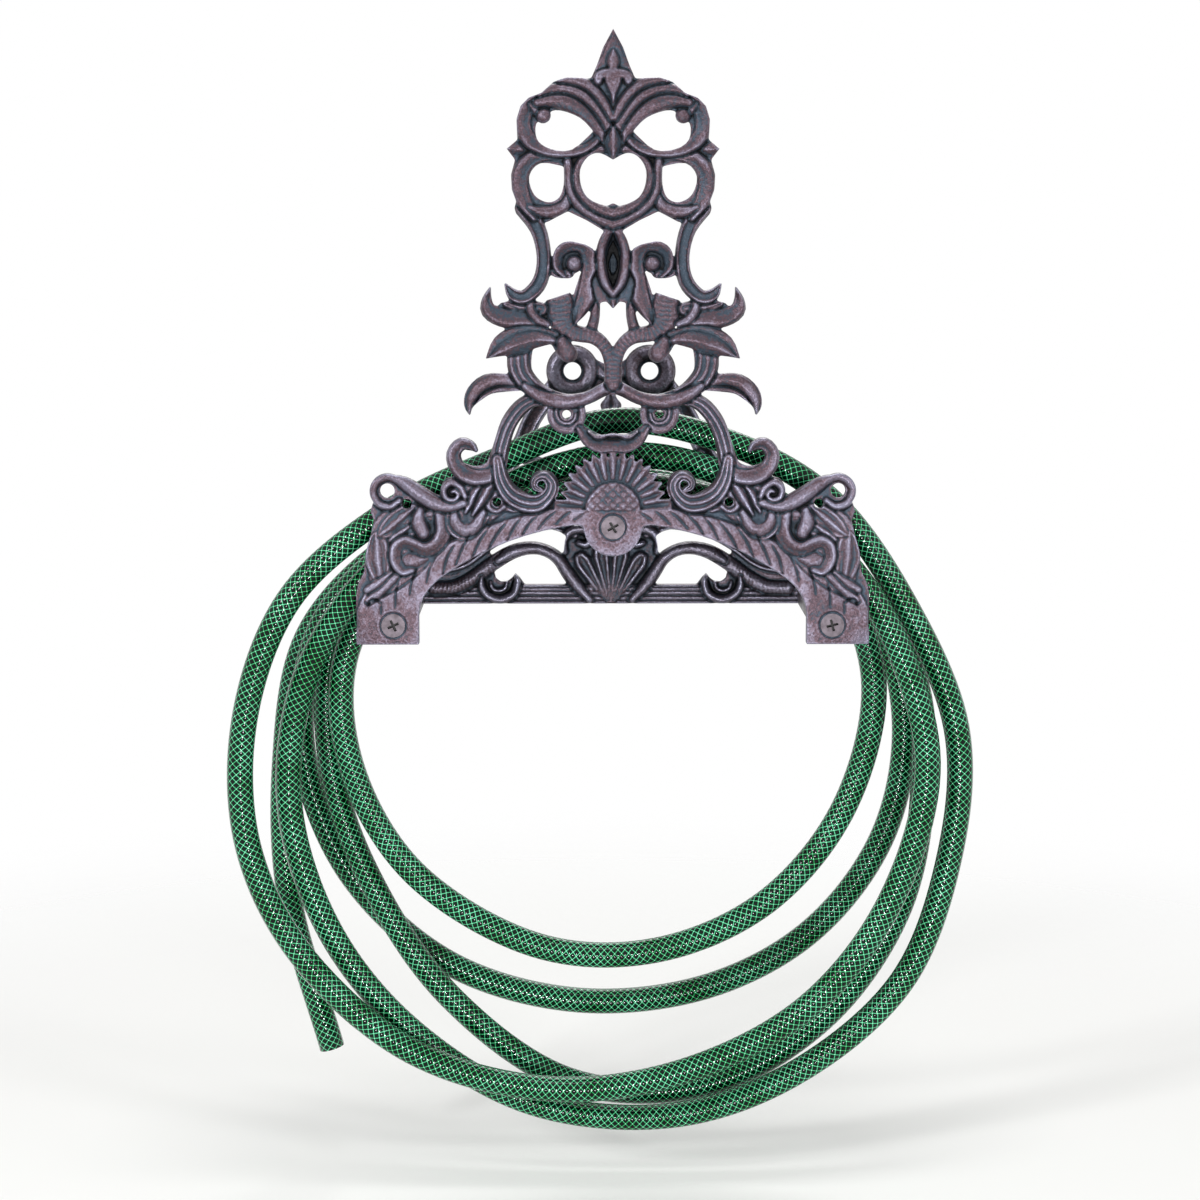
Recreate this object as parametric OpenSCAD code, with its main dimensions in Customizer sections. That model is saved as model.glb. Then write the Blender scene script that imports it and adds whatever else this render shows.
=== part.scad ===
// Wall-mounted hose holder in cast metal: an openwork front plate, an arched saddle
// that carries the hose, and an openwork wall plate, held together by six screws.
// Origin: midway between the two lower wall holes, on the back face of the wall plate.
// The wall is the plane Y = 0, the front of the holder faces -Y, and +Z is up.

/* [Front plate] */
// Clear width between the two feet
leg_gap = 240; // [220:1:260]
// Width of each foot
foot_w = 39; // [34:1:44]
// Height of the front plate, from the feet to the tip of the finial
front_h = 375; // [350:1:400]
// Thickness of the casting's body
front_base_t = 5; // [4:0.5:7]
// Height of the raised ornament above the body
front_relief = 3; // [2:0.5:4]
// Height of the arch's underside above the feet, at the crown
arch_rise = 76; // [72:1:80]
// Height above the feet where the arch meets their inner edges
arch_spring = 31; // [28:1:33]
// Radius of the round lobe that carries the middle screw
hub_r = 18; // [16:0.5:20]

/* [Saddle] */
// Clear depth between the front plate and the wall plate
trough_depth = 90; // [84:1:100]
// Thickness of the saddle's wall
saddle_t = 5; // [4:0.5:7]
// How far the saddle's underside stands back from the edge of the arch
saddle_setback = 2; // [1:0.5:4]
// Height of the saddle's lower edges above the feet
saddle_lift = 13; // [12:1:16]
// Radius of the rounded lower corners of the saddle's legs
saddle_corner_r = 8; // [4:1:10]
// Radius of the lugs that take the screws
lug_r = 9; // [8:0.5:11]
// Depth of each lug along the screw
lug_depth = 16; // [14:1:20]

/* [Wall plate] */
// Thickness of the casting's body
wall_base_t = 5; // [4:0.5:6]
// Height of the raised ornament above the body
wall_relief = 2; // [1:0.5:3]
// Height of the wall plate, from the rail's lower edge to the top of the eyes
wall_h = 169; // [160:1:180]
// Height of the straight rail at the bottom
rail_h = 12.5; // [10:0.5:15]
// Height of the rail's lower edge above the feet
rail_lift = 12; // [8:1:16]
// Height of the two low rear screws above the rail's lower edge
rear_foot_lift = 12; // [11:0.5:14]
// Diameter of the holes for the wall screws
wall_hole_d = 6.5; // [5:0.5:8]
// Distance between the two lower wall holes
wall_hole_spacing = 190; // [180:1:200]
// Height of the lower wall holes above the rail's lower edge
wall_hole_lift = 50; // [46:1:54]
// Diameter of the two eyes, which are also the upper wall holes
eye_d = 11.5; // [9:0.5:13]
// Distance between the eyes
eye_spacing = 50; // [46:1:54]
// Height of the eyes above the rail's lower edge
eye_lift = 152; // [148:1:154]

/* [Screws] */
// Thread diameter of the countersunk screws
screw_d = 8; // [6:0.5:8]
// Diameter of the screw heads
head_d = 14.6; // [13:0.2:15]
// Length of the screws, over the head
screw_len = 20; // [18:1:22]
// Distance from a foot's inner edge to its screw
foot_screw_in = 16; // [14:0.5:18]
// Height of the foot screws above the feet
foot_screw_lift = 12; // [11:0.5:15]
// Height of the middle screw above the feet
hub_screw_lift = 73; // [70:0.5:75]
// Radial clearance of a screw in its lug
thread_clear = 0.1; // [0.05:0.05:0.2]
// Radial clearance of a screw in the plate that it clamps
shank_clear = 0.3; // [0.2:0.1:0.5]

/* [Hose] */
// Outer diameter of the hose
hose_d = 16.5; // [14:0.5:16.5]

/* [Hidden] */
$fn = 48;

// Sizes that the ornament was drawn at, in its own millimetre grid
drawn_front_w = 318;
drawn_front_h = 375;
drawn_wall_w = 296;
drawn_wall_h = 169;
curve_steps = 3;
arch_steps = 10;
corner = 13;
relief_inset = 1.4;

front_w = leg_gap + 2 * foot_w;
front_t = front_base_t + front_relief;
wall_t = wall_base_t + wall_relief;
foot_z = -(wall_hole_lift + rail_lift);
rail_z = -wall_hole_lift;
front_back_y = -(wall_t + trough_depth);

// The arch is a circular arc through the crown and both springing points
arch_sag = arch_rise - arch_spring;
arch_r = (pow(leg_gap / 2, 2) + pow(arch_sag, 2)) / (2 * arch_sag);
arch_centre = arch_rise - arch_r;

screw_x = leg_gap / 2 + foot_screw_in;
rear_screw_lift = rail_lift + rear_foot_lift;
rear_hub_lift = hub_screw_lift - 1;
wall_w = 2 * (screw_x + lug_r) + 6;
head_h = (head_d - screw_d) / 2;
saddle_top_z = foot_z + arch_rise + saddle_setback + saddle_t;

// Metal left round the screws and the wall holes, and the webs of the lugs
hub_blend = 5;
hub_neck = 5;
slot_floor = 3;
screw_pad = 4;
hole_pad = 7.5;
web_rise = 14;
web_angle = 60;
tip_h = 1;

// Cross recess in a screw head, and how far round each screw was driven
recess_w = 1.6;
recess_l = 7.4;
recess_depth = 2.6;
front_turns = [25, 30, 15];
rear_turns = [10, 40, 70];

// The hose: places along its middle, from the end that lies hidden on the saddle, over
// five turns that pass over the saddle and hang below it, to the loose end. They were
// chosen for a saddle of the four sizes named here, and follow it when it changes.
route_leg_gap = 240;
route_trough_depth = 90;
route_wall_t = 7;
route_saddle_top_z = 21;
hose_sides = 10;
hose_route = [
    [-10, -87, 32], [-88, -87, 20], [-150, -86, -20], [-194, -77, -88], [-205, -73, -172],
    [-180, -71, -254], [-128, -70, -320], [-52, -70, -367], [38, -70, -376], [118, -70, -348],
    [186, -70, -288], [216, -70, -205], [219, -70, -121], [184, -70, -40], [136, -69, 25],
    [72, -67, 61], [0, -66, 74],
    [-72, -74, 50], [-142, -87, 17], [-202, -88, -36], [-231, -88, -112], [-230, -88, -194],
    [-195, -88, -267], [-128, -88, -327], [-42, -88, -352], [45, -88, -341], [124, -88, -299],
    [177, -87, -229], [199, -86, -140], [172, -86, -52], [124, -84, 8], [66, -79, 43],
    [6, -72, 53],
    [-60, -69, 36], [-125, -70, -8], [-168, -67, -72], [-166, -67, -146], [-126, -68, -216],
    [-50, -70, -262], [28, -70, -266], [100, -68, -234], [150, -64, -171], [167, -59, -90],
    [136, -54, -18], [74, -53, 20.5], [0, -53, 32.5],
    [-72, -52, 20.5], [-130, -52, -10], [-176, -50, -65], [-181, -50, -145], [-157, -50, -222],
    [-106, -50, -301], [-28, -51, -358], [62, -51, -361], [137, -47, -319], [186, -42, -250],
    [202, -39, -170], [194, -37, -88], [142, -35, -12], [75, -35, 20.5], [0, -35, 32.5],
    [-74, -34.6, 20.5], [-138, -34, -9], [-188, -34, -62], [-200, -34, -140], [-172, -31, -222],
    [-110, -27, -284], [-28, -22, -312], [58, -19, -306], [130, -18, -269], [178, -18, -205],
    [192, -18, -128], [172, -18, -52], [125, -17, -2], [66, -17, 24], [0, -17, 32.5],
    [-74, -17, 20.5], [-145, -16, -12], [-198, -16, -70], [-214, -16, -152], [-212, -17, -245],
    [-185, -20, -345]
];

// The underside of the arch: a circular crown that runs into a straight leg through a
// soft corner, at a distance out from the front plate's own edge
function crown_z(x, out) = arch_centre + sqrt(pow(arch_r + out, 2) - pow(x, 2));
function arch_side(out) =
    let (leg = leg_gap / 2 + out, a = [leg - corner, crown_z(leg - corner, out)],
        b = [leg, crown_z(leg, out)], c = [leg, crown_z(leg, out) - corner])
    concat(
        [for (i = [0 : arch_steps]) let (x = a[0] * i / arch_steps) [x, crown_z(x, out)]],
        [for (k = [0.25, 0.5, 0.75, 1]) a * pow(1 - k, 2) + b * 2 * k * (1 - k) + c * pow(k, 2)]
    );
function arch_area(out, low) =
    let (side = arch_side(out), leg = leg_gap / 2 + out)
    concat([[-leg, low], [leg, low]], [for (i = [len(side) - 1 : -1 : 0]) side[i]],
        [for (i = [1 : len(side) - 1]) [-side[i][0], side[i][1]]]);

// Points along a smooth curve through control points [x, z, width]
function curve_point(a, b, c, d, t) =
    0.5 * (2 * b + (c - a) * t + (2 * a - 5 * b + 4 * c - d) * t * t
    + (3 * b - a - 3 * c + d) * t * t * t);
function curve(p, steps) = [
    for (i = [0 : len(p) - 2], k = [0 : steps - 1])
        curve_point(p[max(i - 1, 0)], p[i], p[i + 1], p[min(i + 2, len(p) - 1)], k / steps),
    p[len(p) - 1]
];
function across(q, i) =
    let (a = q[max(i - 1, 0)], b = q[min(i + 1, len(q) - 1)], d = [b[0] - a[0], b[1] - a[1]])
    [-d[1], d[0]] / norm(d);
function edge(q, i, side) =
    [q[i][0], q[i][1]] + across(q, i) * side * max(q[i][2], 0.3) / 2;

// A cast rib that follows a curve, with a width of its own at each control point
module rib(p) {
    q = curve(p, curve_steps);
    for (i = [0 : len(q) - 2])
        polygon([edge(q, i, 1), edge(q, i + 1, 1), edge(q, i + 1, -1), edge(q, i, -1)]);
    for (e = [q[0], q[len(q) - 1]])
        translate([e[0], e[1]]) circle(d = max(e[2], 0.3), $fn = 12);
}

module both_sides() {
    children();
    mirror([1, 0]) children();
}

function smooth_loop(p) =
    [for (q = curve([for (v = concat(p, [p[0]])) [v[0], v[1], 0]], curve_steps)) [q[0], q[1]]];

// Front plate, drawn from the feet up
module finial() {
    polygon([[0, 375], [6, 364], [10, 353], [14.5, 343], [14.5, 335], [0, 325]]);
}

module crown() {
    polygon(concat(
        [[0, 350], [14, 345.5], [28, 346], [36, 343.5], [43, 337], [51, 334], [56, 329], [58.5, 321]],
        [[58, 309], [64.5, 303.5], [59.5, 297], [62, 288], [61.5, 279], [58.5, 271], [51, 260]],
        [[40, 259.5], [27.5, 266], [16, 260.5], [5, 254], [0, 256]]
    ));
}

module crown_holes() {
    polygon(smooth_loop([[12, 314], [20, 322], [32, 326.5], [40, 325], [46.5, 319], [46, 309],
        [38, 303.5], [25, 303]]));
    polygon(smooth_loop([[30, 293], [44, 295], [51, 287], [48, 276], [40, 271.5], [33, 274], [30, 282]]));
    polygon(smooth_loop([[0, 297], [8, 301], [15, 299], [20, 291], [19, 280], [13, 272.5], [0, 271]]));
}

// The ball at the end of the curl that reaches into each upper hole
module curl_ball() {
    translate([42.5, 323.5]) circle(r = 4.8, $fn = 24);
}

module stems() {
    rib([[54, 268, 12], [46, 256, 10], [42.5, 243, 9], [42.5, 231, 9], [46, 221, 9.5], [54, 214, 9],
        [61, 215.5, 8], [66, 222.5, 1]]);
}

module spade() {
    polygon(smooth_loop([[0, 259], [7, 252], [10.5, 241], [9, 229], [4, 219], [0, 214], [-4, 219],
        [-9, 229], [-10.5, 241], [-7, 252]]));
    polygon([[-9, 232], [9, 232], [14, 224], [10, 210.5], [4, 211.5], [0, 207], [-4, 211.5],
        [-10, 210.5], [-14, 224]]);
}

// Pocket in the face of the spade, with a bud left standing in it
module spade_slot() {
    difference() {
        polygon([[0, 249], [3.5, 243], [4.8, 235], [3.5, 226], [0, 218.5], [-3.5, 226], [-4.8, 235],
            [-3.5, 243]]);
        polygon([[0, 241], [2.2, 236], [2.4, 232], [0, 227], [-2.4, 232], [-2.2, 236]]);
    }
}

module volutes() {
    translate([26.5, 238]) circle(r = 10);
    rib([[24, 243, 9], [16, 240, 10], [13.5, 232, 11], [14.5, 224, 13], [18, 213, 13], [21, 205, 9],
        [23, 198.5, 1.5]]);
    rib([[41, 233, 6], [34, 229.5, 7], [27, 229, 7]]);
    rib([[10.5, 214, 5], [11, 203, 6], [13, 195, 7]]);
}

module ribbons() {
    polygon([[41, 212], [26, 217], [22, 200], [26, 190], [36, 192], [41, 203]]);
    rib([[30, 195, 11], [22, 192, 10], [12, 190, 9], [5, 184, 8], [1, 174, 9], [0, 160, 11]]);
}

module side_leaves() {
    rib([[43, 196, 6], [56, 200, 12], [68, 202, 12], [76, 206, 10], [77, 213, 6], [75, 220, 1]]);
    rib([[44, 205, 12], [56, 207, 12], [67, 208, 6]]);
    rib([[42, 197, 6], [47, 204, 7], [50, 211, 5.5], [53, 213, 4]]);
    rib([[36, 190, 8], [48, 190, 14], [59, 188, 17], [69, 184, 13], [77.5, 177, 0.8]]);
    rib([[35, 190, 9], [30, 183, 11], [27, 179.5, 11]]);
}

module belt() {
    rib([[55, 186, 13], [57.5, 176, 15], [56, 167, 14], [49, 159, 12], [40, 153.5, 10], [28, 150.5, 9],
        [16, 152.5, 8], [7, 157, 8], [0, 160, 9]]);
    translate([28.5, 142.5]) circle(r = 12);
    rib([[53, 162, 9], [66, 162, 11], [77, 161, 12.5], [85, 155, 11], [88.5, 148, 6], [88, 142.5, 1]]);
}

module stems_low() {
    rib([[40, 152, 9], [49, 151.5, 9], [57, 146.5, 10], [64, 137, 10], [68, 125, 10], [71, 113, 12],
        [74, 106, 12]]);
    rib([[70, 112, 10], [79, 106, 11], [88, 105.5, 11], [96, 110, 10], [98, 118.5, 9], [93, 124.5, 8],
        [87, 123, 6], [84, 120.5, 2.5]]);
    rib([[86, 88, 6], [92, 89, 5], [99, 88.5, 5], [104, 94, 5], [101.5, 101, 5], [95.5, 100.5, 4.5],
        [95, 95, 4], [99, 94.5, 3]]);
    translate([99, 95.5]) circle(r = 5);
    rib([[70, 108, 9], [66, 98, 10], [58.5, 91.5, 10], [50, 88, 10], [42, 90.5, 9], [37.5, 97, 9],
        [39.5, 104, 7], [46, 104.5, 6], [49, 99, 5], [45.5, 96.5, 4]]);
    polygon([[60, 84], [66, 96], [72, 108], [84, 104], [93, 105], [99, 100], [98, 84]]);
}

module ears() {
    rib([[139, 95.5, 21.5], [136, 97, 18], [128, 98, 12], [118, 93, 10], [108, 88, 9], [96, 86, 8]]);
    translate([139, 95.5]) circle(r = 10.8);
    polygon([[110, 90], [124, 97], [134, 96], [148, 86], [120, 86]]);
}

module horns() {
    rib([[0, 125, 12], [8, 124.5, 11], [15, 128, 10], [20, 133.5, 6]]);
}

// A shell fan of pointed petals above the middle screw
module fan() {
    fan_petals = 17;
    for (i = [0 : fan_petals - 1])
        rotate(180 * i / (fan_petals - 1) - 90)
            rib([[0, 10, 4], [0, 24, 5], [0, 28, 5], [0, 32, 1.8]]);
    circle(r = 27);
}

module band() {
    polygon([[0, 60], [0, 90], [40, 90], [60, 86], [84, 90], [104, 91], [120, 92], [134, 88], [148, 88],
        [149.5, 83], [147.5, 77], [149.5, 68], [152.5, 58], [154, 45], [157.5, 38], [159, 31], [159, 0],
        [100, 0]]);
}

module front_outline() {
    difference() {
        union() {
            both_sides() {
                finial();
                crown();
                stems();
                volutes();
                ribbons();
                side_leaves();
                belt();
                stems_low();
                ears();
                horns();
                band();
            }
            spade();
            translate([0, 88]) fan();
        }
        both_sides() {
            crown_holes();
            translate([28.5, 142.5]) circle(r = 2.8, $fn = 16);
            translate([139, 95.5]) circle(r = 4.6, $fn = 24);
            translate([127, 87.5]) circle(r = 3, $fn = 16);
            translate([71.5, 88.5]) circle(r = 2.8, $fn = 16);
        }
    }
    both_sides() curl_ball();
}

// A hole for a countersunk screw through a plate whose outer face is at the given depth
module countersunk_hole(depth) {
    shank_r = screw_d / 2 + shank_clear;
    translate([0, 0, -1]) cylinder(r = shank_r, h = depth + 2);
    translate([0, 0, depth - head_d / 2 + shank_r])
        cylinder(r1 = shank_r, r2 = head_d / 2, h = head_d / 2 - shank_r);
    translate([0, 0, depth]) cylinder(r = head_d / 2, h = 1);
}

module at_front_size() {
    scale([front_w / drawn_front_w, front_h / drawn_front_h]) children();
}

module fitted_front(inset) {
    offset(delta = inset) difference() {
        union() {
            at_front_size() front_outline();
            translate([0, hub_screw_lift]) circle(r = hub_r + hub_blend);
        }
        // the arch, and the lobe of the middle screw that runs into it through a soft neck
        offset(r = hub_neck) offset(delta = -hub_neck) difference() {
            polygon(arch_area(0, -3 * hub_neck));
            translate([0, hub_screw_lift]) circle(r = hub_r);
        }
    }
}

module front_plate() {
    color("dimgray")
    translate([0, front_back_y, foot_z])
    rotate([90, 0, 0])
    difference() {
        union() {
            linear_extrude(front_base_t) fitted_front(0);
            translate([0, 0, front_base_t]) linear_extrude(front_relief) fitted_front(-relief_inset);
        }
        for (s = [-1, 1]) translate([s * screw_x, foot_screw_lift, 0]) countersunk_hole(front_t);
        translate([0, hub_screw_lift, 0]) countersunk_hole(front_t);
        translate([0, 0, slot_floor]) linear_extrude(front_t) at_front_size() spade_slot();
    }
}

// Saddle
module arch_shell() {
    difference() {
        linear_extrude(trough_depth) polygon(arch_area(saddle_setback + saddle_t, saddle_lift));
        translate([0, 0, -1])
            linear_extrude(trough_depth + 2) polygon(arch_area(saddle_setback, saddle_lift - 1));
    }
}

// What is cut from both legs to round a lower corner
module leg_corner() {
    r = saddle_corner_r;
    difference() {
        translate([-front_w / 2, saddle_lift - 1, -1]) cube([front_w, r + 1, r + 1]);
        translate([-front_w / 2 - 1, saddle_lift + r, r])
            rotate([0, 90, 0]) cylinder(r = r, h = front_w + 2);
    }
}

// A foot lug stands outside a leg on a sloping web, the hub lug hangs under the crown
module foot_lug(lift) {
    leg_x = leg_gap / 2 + saddle_setback + saddle_t / 2;
    low = max(lift, saddle_lift + 1);
    for (s = [-1, 1]) {
        translate([s * screw_x, lift, 0]) cylinder(r = lug_r, h = lug_depth);
        linear_extrude(lug_depth) polygon([
            [s * leg_x, low], [s * screw_x, low],
            [s * (screw_x + lug_r * cos(web_angle)), lift + lug_r * sin(web_angle)],
            [s * leg_x, lift + lug_r + web_rise]
        ]);
    }
}

module hub_lug(lift) {
    translate([0, lift, 0]) cylinder(r = lug_r, h = lug_depth);
    translate([-lug_r, lift, 0]) cube([2 * lug_r, arch_rise + saddle_setback + 1 - lift, lug_depth]);
}

module lug_bores(foot_lift, hub_lift) {
    r = screw_d / 2 + thread_clear;
    for (s = [-1, 1]) translate([s * screw_x, foot_lift, -1]) cylinder(r = r, h = lug_depth + 2);
    translate([0, hub_lift, -1]) cylinder(r = r, h = lug_depth + 2);
}

module saddle() {
    color("#3c3836")
    translate([0, -wall_t, foot_z])
    rotate([90, 0, 0])
    difference() {
        union() {
            difference() {
                arch_shell();
                leg_corner();
                translate([0, 0, trough_depth]) mirror([0, 0, 1]) leg_corner();
            }
            foot_lug(rear_screw_lift);
            hub_lug(rear_hub_lift);
            translate([0, 0, trough_depth - lug_depth]) {
                foot_lug(foot_screw_lift);
                hub_lug(hub_screw_lift);
            }
        }
        lug_bores(rear_screw_lift, rear_hub_lift);
        translate([0, 0, trough_depth - lug_depth]) lug_bores(foot_screw_lift, hub_screw_lift);
    }
}

// Wall plate, drawn from the rail's lower edge up
module half_moon_arch() {
    rib([[14, 4, 8], [22, 11.5, 9], [28.5, 20.5, 9], [34, 29, 8.5], [42, 34.5, 8], [52, 36.5, 8.5],
        [64, 34, 9.5], [77, 26.5, 10], [90, 17, 10], [102, 11, 9.6], [114, 10, 9.6]]);
    polygon([[78, 26], [80, 40], [96, 31], [112, 25], [128, 25], [128, 10], [75.5, 10], [75.5, 18]]);
    // the hook that stands on the rail at the end of the opening
    polygon([[55, 10], [57, 13.5], [60, 17.5], [62.5, 19.8], [64.5, 17], [67.5, 14.6], [72, 14.2],
        [76, 17], [80, 10]]);
}

module shell() {
    polygon([[0, 0], [14, 0], [19, 12], [25, 22], [31, 33], [30, 42], [20, 46], [8, 45], [0, 41]]);
    translate([21.5, 43.5]) circle(r = 8);
}

module outer_arch() {
    rib([[24, 47, 8], [38, 53, 9], [54, 50.5, 9], [68, 46, 9], [82, 38, 9], [96, 28, 9], [110, 24.5, 9],
        [126, 26, 9], [140, 20, 10]]);
}

module wall_limbs() {
    rib([[28, 148, 16], [39, 138, 13], [51, 121, 12], [60, 101, 12], [74, 82, 12], [96, 63, 13],
        [122, 48, 12], [140, 30, 12], [143, 10, 10]]);
    rib([[4, 98, 9], [20, 98, 9], [33, 88, 10], [32, 70, 10], [20, 60, 10], [6, 58, 12]]);
    rib([[32, 84, 9], [48, 92, 9], [60, 98, 9]]);
    rib([[52, 52, 9], [60, 64, 9], [74, 80, 9]]);
    rib([[78, 42, 9], [88, 50, 14], [98, 60, 12]]);
    rib([[120, 26, 9], [122, 36, 9], [124, 46, 9]]);
}

module spindle() {
    rib([[0, 40, 20], [0, 56, 22], [0, 74, 12], [0, 92, 12], [0, 110, 9], [0, 124, 10], [0, 130, 14],
        [0, 136, 6], [0, 144, 9], [0, 150, 10]]);
    polygon([[0, 143], [12, 140], [22, 146], [22, 160], [12, 160.5], [5, 157], [0, 154.5]]);
}

// Pads around the holes, at the places and sizes of the holes themselves
module wall_pads() {
    for (s = [-1, 1]) {
        translate([s * eye_spacing / 2, eye_lift]) circle(r = wall_h - eye_lift);
        translate([s * wall_hole_spacing / 2, wall_hole_lift]) circle(r = wall_hole_d / 2 + hole_pad);
        translate([s * screw_x, rear_screw_lift - rail_lift]) circle(r = head_d / 2 + screw_pad);
    }
    translate([0, rear_hub_lift - rail_lift]) circle(r = head_d / 2 + screw_pad);
    translate([-wall_w / 2, 0]) square([wall_w, rail_h]);
}

module fitted_wall(inset) {
    offset(delta = inset) union() {
        scale([wall_w / drawn_wall_w, wall_h / drawn_wall_h]) both_sides() {
            half_moon_arch();
            shell();
            outer_arch();
            wall_limbs();
            spindle();
        }
        wall_pads();
    }
}

module wall_plate() {
    color("#2f2b2a")
    translate([0, 0, rail_z])
    rotate([90, 0, 0])
    difference() {
        union() {
            linear_extrude(wall_base_t) fitted_wall(0);
            translate([0, 0, wall_base_t]) linear_extrude(wall_relief) fitted_wall(-relief_inset);
        }
        for (s = [-1, 1]) {
            translate([s * wall_hole_spacing / 2, wall_hole_lift, -1])
                cylinder(d = wall_hole_d, h = wall_t + 2);
            translate([s * eye_spacing / 2, eye_lift, -1]) cylinder(d = eye_d, h = wall_t + 2);
        }
        translate([0, 0, wall_t]) mirror([0, 0, 1]) {
            for (s = [-1, 1])
                translate([s * screw_x, rear_screw_lift - rail_lift, 0]) countersunk_hole(wall_t);
            translate([0, rear_hub_lift - rail_lift, 0]) countersunk_hole(wall_t);
        }
    }
}

// Screws, drawn with the head's face at z = 0 and the shank below it
module screw(turn) {
    difference() {
        union() {
            translate([0, 0, -head_h]) cylinder(r1 = screw_d / 2, r2 = head_d / 2, h = head_h);
            translate([0, 0, tip_h - screw_len]) cylinder(d = screw_d, h = screw_len - tip_h - head_h / 2);
            translate([0, 0, -screw_len]) cylinder(r1 = screw_d / 2 - tip_h, r2 = screw_d / 2, h = tip_h);
        }
        rotate(turn) for (a = [0, 90]) rotate(a)
            translate([-recess_l / 2, -recess_w / 2, -recess_depth])
                cube([recess_l, recess_w, recess_depth + 1]);
    }
}

module front_screws() {
    places = [[-screw_x, foot_screw_lift], [0, hub_screw_lift], [screw_x, foot_screw_lift]];
    color("#8a7f7a")
    for (i = [0 : len(places) - 1])
        translate([places[i][0], front_back_y - front_t, foot_z + places[i][1]]) rotate([90, 0, 0])
            screw(front_turns[i]);
}

module rear_screws() {
    places = [[-screw_x, rear_screw_lift], [0, rear_hub_lift], [screw_x, rear_screw_lift]];
    color("#8a7f7a")
    for (i = [0 : len(places) - 1])
        translate([places[i][0], 0, foot_z + places[i][1]]) rotate([-90, 0, 0]) screw(rear_turns[i]);
}

// Hose: one tube, with a ring of points square to the route at each of its places
function unit(v) = v / norm(v);
function hose_place(i) =
    let (p = hose_route[max(0, min(i, len(hose_route) - 1))])
    [p[0] * leg_gap / route_leg_gap, (p[1] + route_wall_t) * trough_depth / route_trough_depth - wall_t,
        p[2] + saddle_top_z - route_saddle_top_z];
function hose_ring(i) =
    let (along = unit(hose_place(i + 1) - hose_place(i - 1)),
        outward = unit(cross(along, [0, 1, 0])), sideways = cross(outward, along))
    [for (k = [0 : hose_sides - 1]) let (a = 360 * k / hose_sides)
        hose_place(i) + hose_d / 2 * (outward * cos(a) + sideways * sin(a))];

module garden_hose() {
    rings = len(hose_route);
    n = hose_sides;
    color("#2f9a3a")
    polyhedron(
        points = [for (i = [0 : rings - 1], p = hose_ring(i)) p],
        faces = concat(
            [[for (k = [0 : n - 1]) k]],
            [for (i = [0 : rings - 2], k = [0 : n - 1]) let (a = i * n + k, b = i * n + (k + 1) % n)
                [a, a + n, b]],
            [for (i = [0 : rings - 2], k = [0 : n - 1]) let (a = i * n + k, b = i * n + (k + 1) % n)
                [b, a + n, b + n]],
            [[for (k = [n - 1 : -1 : 0]) (rings - 1) * n + k]]
        )
    );
}

front_plate();
saddle();
wall_plate();
front_screws();
rear_screws();
garden_hose();
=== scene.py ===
import math

import bmesh
import bpy
import numpy as np
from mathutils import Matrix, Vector


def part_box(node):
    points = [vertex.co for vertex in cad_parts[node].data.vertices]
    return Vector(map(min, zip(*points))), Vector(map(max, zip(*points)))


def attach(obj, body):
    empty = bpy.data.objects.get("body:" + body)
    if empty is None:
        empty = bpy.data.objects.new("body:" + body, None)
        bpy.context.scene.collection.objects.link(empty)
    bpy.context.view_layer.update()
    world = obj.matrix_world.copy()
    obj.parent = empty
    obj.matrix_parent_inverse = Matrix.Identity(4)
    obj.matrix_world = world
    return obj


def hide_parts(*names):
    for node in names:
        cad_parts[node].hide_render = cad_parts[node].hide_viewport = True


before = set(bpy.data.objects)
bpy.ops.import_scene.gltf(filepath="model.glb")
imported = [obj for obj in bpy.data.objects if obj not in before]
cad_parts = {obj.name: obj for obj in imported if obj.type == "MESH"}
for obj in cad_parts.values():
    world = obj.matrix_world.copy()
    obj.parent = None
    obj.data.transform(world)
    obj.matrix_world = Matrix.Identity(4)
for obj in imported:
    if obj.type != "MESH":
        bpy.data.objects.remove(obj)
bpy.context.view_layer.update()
scene = bpy.context.scene
mm = 0.001


# Camera: the photo looks at the front plate from a little above and a little left of it
cameraView = {
    "lookAt": (-0.008, -0.105, -0.034),  # what is in the middle of the photo, on the front plate
    "distance": 1.7,
    "elevation": 7.8,
    "azimuth": -0.5,
    "frameWidth": 0.742,  # width of the photo at the front plate, in metres
    "sensor": 36,
    "clipEnd": 20,
}


def makeCamera(view):
    data = bpy.data.cameras.new("camera")
    camera = bpy.data.objects.new("camera", data)
    scene.collection.objects.link(camera)
    rise, turn = math.radians(view["elevation"]), math.radians(view["azimuth"])
    level = math.cos(rise)
    away = Vector((math.sin(turn) * level, -math.cos(turn) * level, math.sin(rise)))
    camera.location = Vector(view["lookAt"]) + away * view["distance"]
    camera.rotation_euler = away.to_track_quat("Z", "Y").to_euler()
    data.sensor_width = view["sensor"]
    data.lens = data.sensor_width * view["distance"] / view["frameWidth"]
    data.clip_end = view["clipEnd"]
    scene.camera = camera


makeCamera(cameraView)
print("camera set")


def linearColour(code):
    parts = [int(code[i:i + 2], 16) / 255 for i in (1, 3, 5)]
    return [c / 12.92 if c <= 0.04045 else ((c + 0.055) / 1.055) ** 2.4 for c in parts] + [1.0]


def addNode(tree, kind, inputs=None, **settings):
    made = tree.nodes.new(kind)
    for name, value in settings.items():
        setattr(made, name, value)
    for name, value in (inputs or {}).items():
        if isinstance(value, bpy.types.NodeSocket):
            tree.links.new(value, made.inputs[name])
        else:
            made.inputs[name].default_value = value
    return made


def newMaterial(name):
    material = bpy.data.materials.new(name)
    material.use_nodes = True
    material.node_tree.nodes.clear()
    return material, material.node_tree


def colourMix(tree, amount, low, high):
    made = addNode(tree, "ShaderNodeMix", {0: amount, 6: low, 7: high}, data_type="RGBA")
    return made.outputs[2]


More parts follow.
